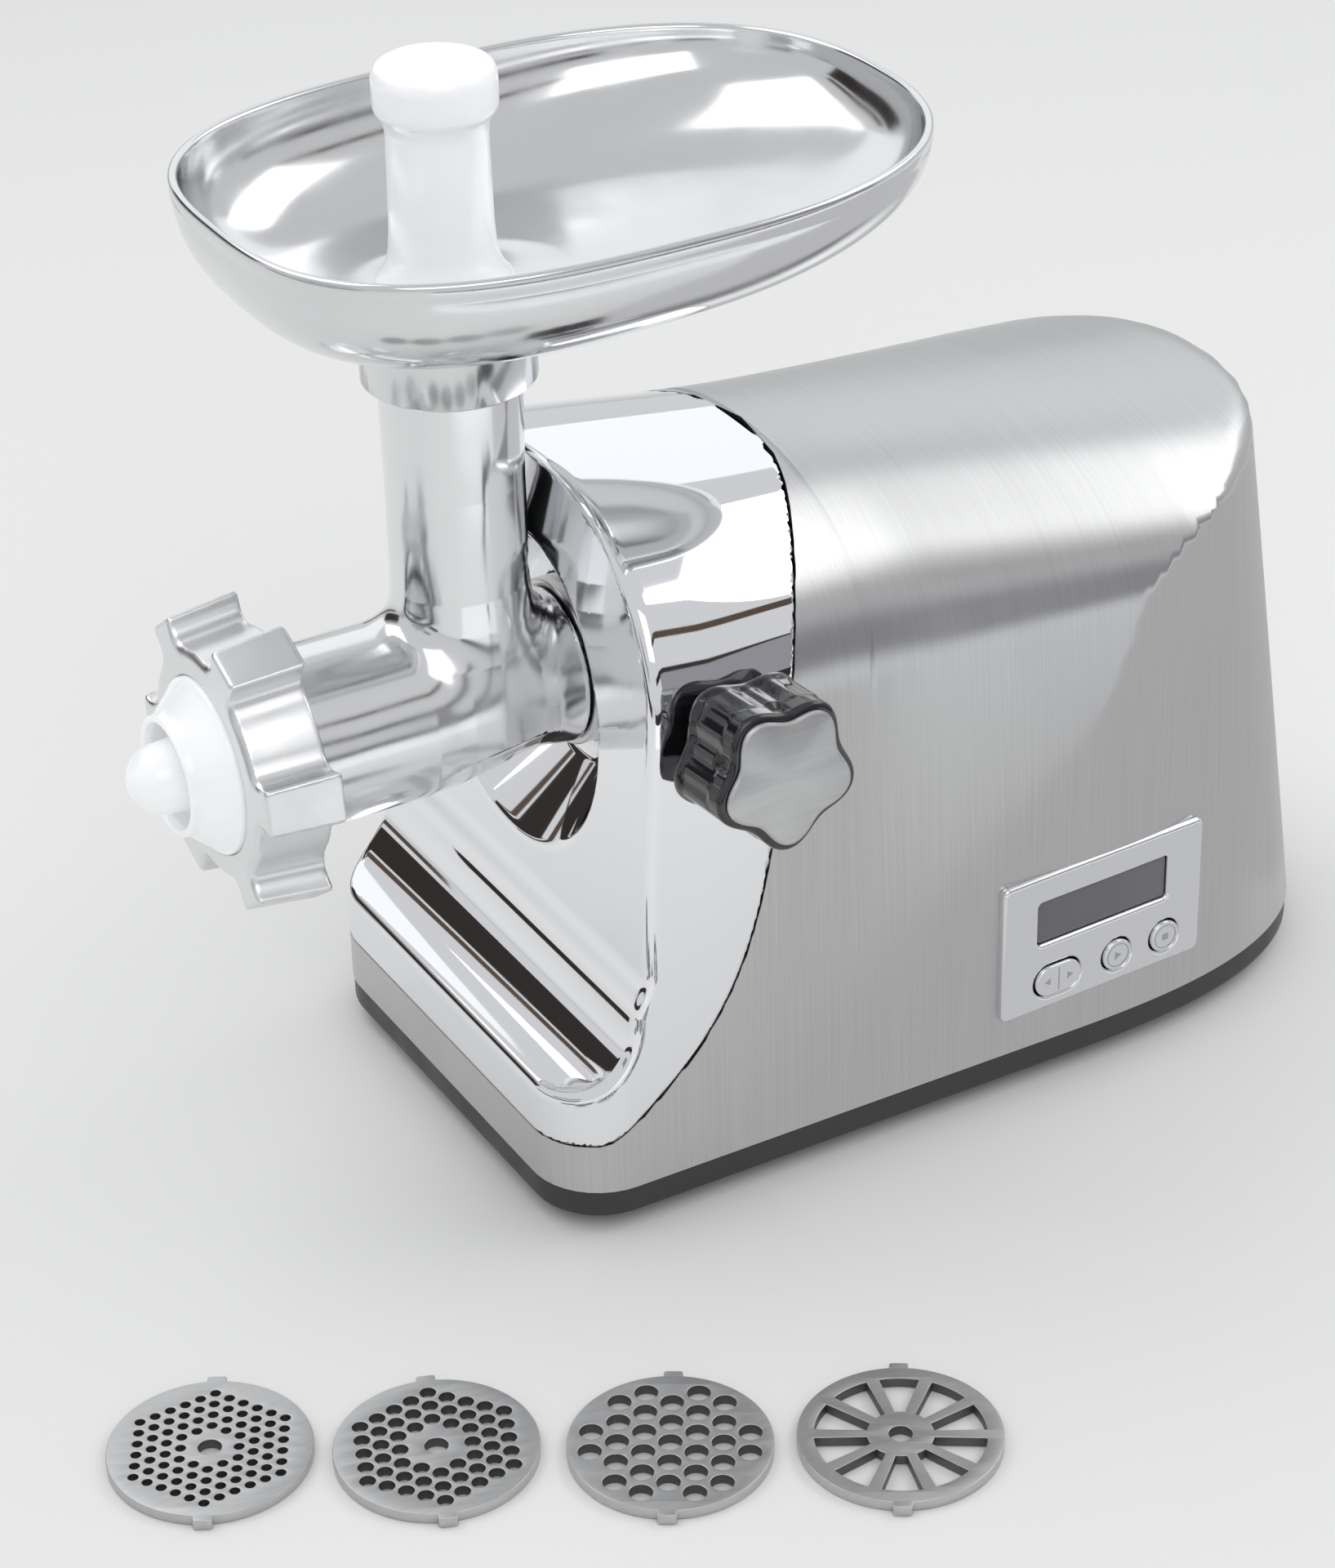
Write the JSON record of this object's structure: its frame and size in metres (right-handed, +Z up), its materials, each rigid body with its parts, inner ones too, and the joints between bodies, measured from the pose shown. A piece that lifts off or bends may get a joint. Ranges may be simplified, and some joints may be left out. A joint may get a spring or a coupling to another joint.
{
  "type": "electric meat grinder",
  "caption": "Electric meat grinder with brushed steel body, chrome front, cast head, hopper tray, pusher, ring nut, kubbe cone, clamp knob, display panel and loose grinding plates",
  "frame": {"origin": "centre of the rectangle that the machine and its loose plates stand on, at floor level", "axes": "+Z up, head and auger point along -Y, control panel and clamp knob face +X"},
  "size_m": [0.3322, 0.4834, 0.3625],
  "materials": {
    "brushed_shell": "brushed stainless sheet",
    "chrome_front": "polished mirror chrome",
    "cast_head": "polished cast aluminium",
    "spun_tray": "polished pressed aluminium",
    "black_base": "satin black moulding",
    "black_knob": "glossy black moulding",
    "white_plastic": "glossy white moulding",
    "rubber": "soft black rubber",
    "display_lens": "dark tinted display lens",
    "circuit_board": "solder mask",
    "copper": null,
    "nylon": "natural nylon",
    "plate_steel": "ground stainless plate",
    "bronze": "sintered bronze",
    "grey_plastic": "grey moulding",
    "machined_steel": "machined steel",
    "carbon": null
  },
  "bodies": {
    "housing": {"base_tray": "black_base", "housing_shell": "brushed_shell", "front_fascia": "chrome_front", "foot_front_left": "rubber", "base_screw_front_left": "machined_steel", "foot_front_right": "rubber", "base_screw_front_right": "machined_steel", "foot_rear_left": "rubber", "base_screw_rear_left": "machined_steel", "foot_rear_right": "rubber", "base_screw_rear_right": "machined_steel", "chassis": "grey_plastic", "head_socket": "machined_steel", "clamp_bush": "bronze", "gearbox_case": "cast_head", "gearbox_cover": "cast_head", "output_bush": "bronze", "stator": "machined_steel", "field_coil_upper": "copper", "field_coil_lower": "copper", "motor_bracket_front": "cast_head", "motor_bracket_rear": "cast_head", "motor_bearing_front": "machined_steel", "motor_bearing_rear": "machined_steel", "carbon_brush_left": "carbon", "carbon_brush_right": "carbon", "panel_bezel": "chrome_front", "display_window": "display_lens", "display_module": "grey_plastic", "control_board": "circuit_board", "cord_gland": "rubber"},
    "rotor": {"motor_shaft": "machined_steel", "armature": "machined_steel", "commutator": "copper", "cooling_fan": "grey_plastic"},
    "first_gear": {"first_wheel": "nylon", "first_pinion_shaft": "machined_steel"},
    "second_gear": {"second_wheel": "nylon", "second_pinion_shaft": "machined_steel"},
    "output": {"output_wheel": "nylon", "output_shaft": "machined_steel"},
    "head": {"head_casting": "cast_head", "auger_bush": "bronze", "kubbe_former": "white_plastic"},
    "auger": {"auger": "cast_head"},
    "cone": {"kubbe_cone": "white_plastic"},
    "ring": {"ring_nut": "cast_head"},
    "tray": {"food_tray": "spun_tray"},
    "pusher": {"food_pusher": "white_plastic"},
    "shoe": {"clamp_shoe": "bronze"},
    "knob": {"clamp_screw": "machined_steel", "clamp_knob": "black_knob", "clamp_knob_cap": "brushed_shell"},
    "rocker": {"rocker_button": "chrome_front"},
    "start": {"start_button": "chrome_front"},
    "stop": {"stop_button": "chrome_front"},
    "fine_plate": {"plate_fine": "plate_steel"},
    "medium_plate": {"plate_medium": "plate_steel"},
    "coarse_plate": {"plate_coarse": "plate_steel"},
    "spoked_plate": {"plate_spoked": "plate_steel"}
  },
  "joints": [
    {"name": "rotor_spin", "type": "hinge", "parent": "housing", "child": "rotor", "pos_m": [-0.0807, 0.10691, 0.08], "axis": [0, 1, 0], "continuous": true},
    {"name": "first_spin", "type": "hinge", "parent": "housing", "child": "first_gear", "pos_m": [-0.10269, 0.03691, 0.1024], "axis": [0, 1, 0], "continuous": true},
    {"name": "second_spin", "type": "hinge", "parent": "housing", "child": "second_gear", "pos_m": [-0.06662, 0.03691, 0.11015], "axis": [0, 1, 0], "continuous": true},
    {"name": "output_spin", "type": "hinge", "parent": "housing", "child": "output", "pos_m": [-0.0807, 0.02691, 0.1562], "axis": [0, 1, 0], "continuous": true},
    {"name": "head_slide", "type": "slide", "parent": "housing", "child": "head", "axis": [0, -1, 0], "range_m": [0, 0.07]},
    {"name": "auger_spin", "type": "hinge", "parent": "head", "child": "auger", "pos_m": [-0.0807, -0.07309, 0.1562], "axis": [0, 1, 0], "continuous": true},
    {"name": "cone_slide", "type": "slide", "parent": "head", "child": "cone", "axis": [0, -1, 0], "range_m": [0, 0.0091]},
    {"name": "ring_turn", "type": "hinge", "parent": "cone", "child": "ring", "pos_m": [-0.0807, -0.13309, 0.1562], "axis": [0, -1, 0], "range_deg": [0, 1080]},
    {"name": "tray_lift", "type": "slide", "parent": "head", "child": "tray", "axis": [0, 0, 1], "range_m": [0, 0.05]},
    {"name": "pusher_lift", "type": "slide", "parent": "tray", "child": "pusher", "axis": [0, 0, 1], "range_m": [0, 0.11]},
    {"name": "shoe_slide", "type": "slide", "parent": "housing", "child": "shoe", "axis": [0.994, 0, 0.1097], "range_m": [0, 0.0025]},
    {"name": "knob_turn", "type": "hinge", "parent": "shoe", "child": "knob", "pos_m": [-0.0807, -0.01209, 0.1562], "axis": [0.994, 0, 0.1097], "range_deg": [0, 720]},
    {"name": "rocker_tilt", "type": "hinge", "parent": "housing", "child": "rocker", "pos_m": [0.00458, 0.10769, 0.0398], "axis": [0, 0, 1], "range_deg": [-3, 3], "stiffness_Nm_per_rad": 0.05},
    {"name": "start_press", "type": "slide", "parent": "housing", "child": "start", "axis": [-0.9988, -0.0498, 0], "range_m": [0, 0.0012], "stiffness_N_per_m": 400},
    {"name": "stop_press", "type": "slide", "parent": "housing", "child": "stop", "axis": [-0.9988, -0.0498, 0], "range_m": [0, 0.0012], "stiffness_N_per_m": 400},
    {"name": "fine_plate_lift", "type": "slide", "parent": "housing", "child": "fine_plate", "axis": [0, 0, 1], "range_m": [0, 0.05]},
    {"name": "medium_plate_lift", "type": "slide", "parent": "housing", "child": "medium_plate", "axis": [0, 0, 1], "range_m": [0, 0.05]},
    {"name": "coarse_plate_lift", "type": "slide", "parent": "housing", "child": "coarse_plate", "axis": [0, 0, 1], "range_m": [0, 0.05]},
    {"name": "spoked_plate_lift", "type": "slide", "parent": "housing", "child": "spoked_plate", "axis": [0, 0, 1], "range_m": [0, 0.05]}
  ],
  "couplings": [
    {"joint": "first_spin", "follows": "rotor_spin", "ratio": -0.25},
    {"joint": "second_spin", "follows": "rotor_spin", "ratio": 0.072368},
    {"joint": "output_spin", "follows": "rotor_spin", "ratio": -0.024123},
    {"joint": "auger_spin", "follows": "rotor_spin", "ratio": -0.024123},
    {"joint": "cone_slide", "follows": "ring_turn", "m_per_rad": 0.00047746},
    {"joint": "knob_turn", "follows": "shoe_slide", "rad_per_m": 5026.5}
  ]
}
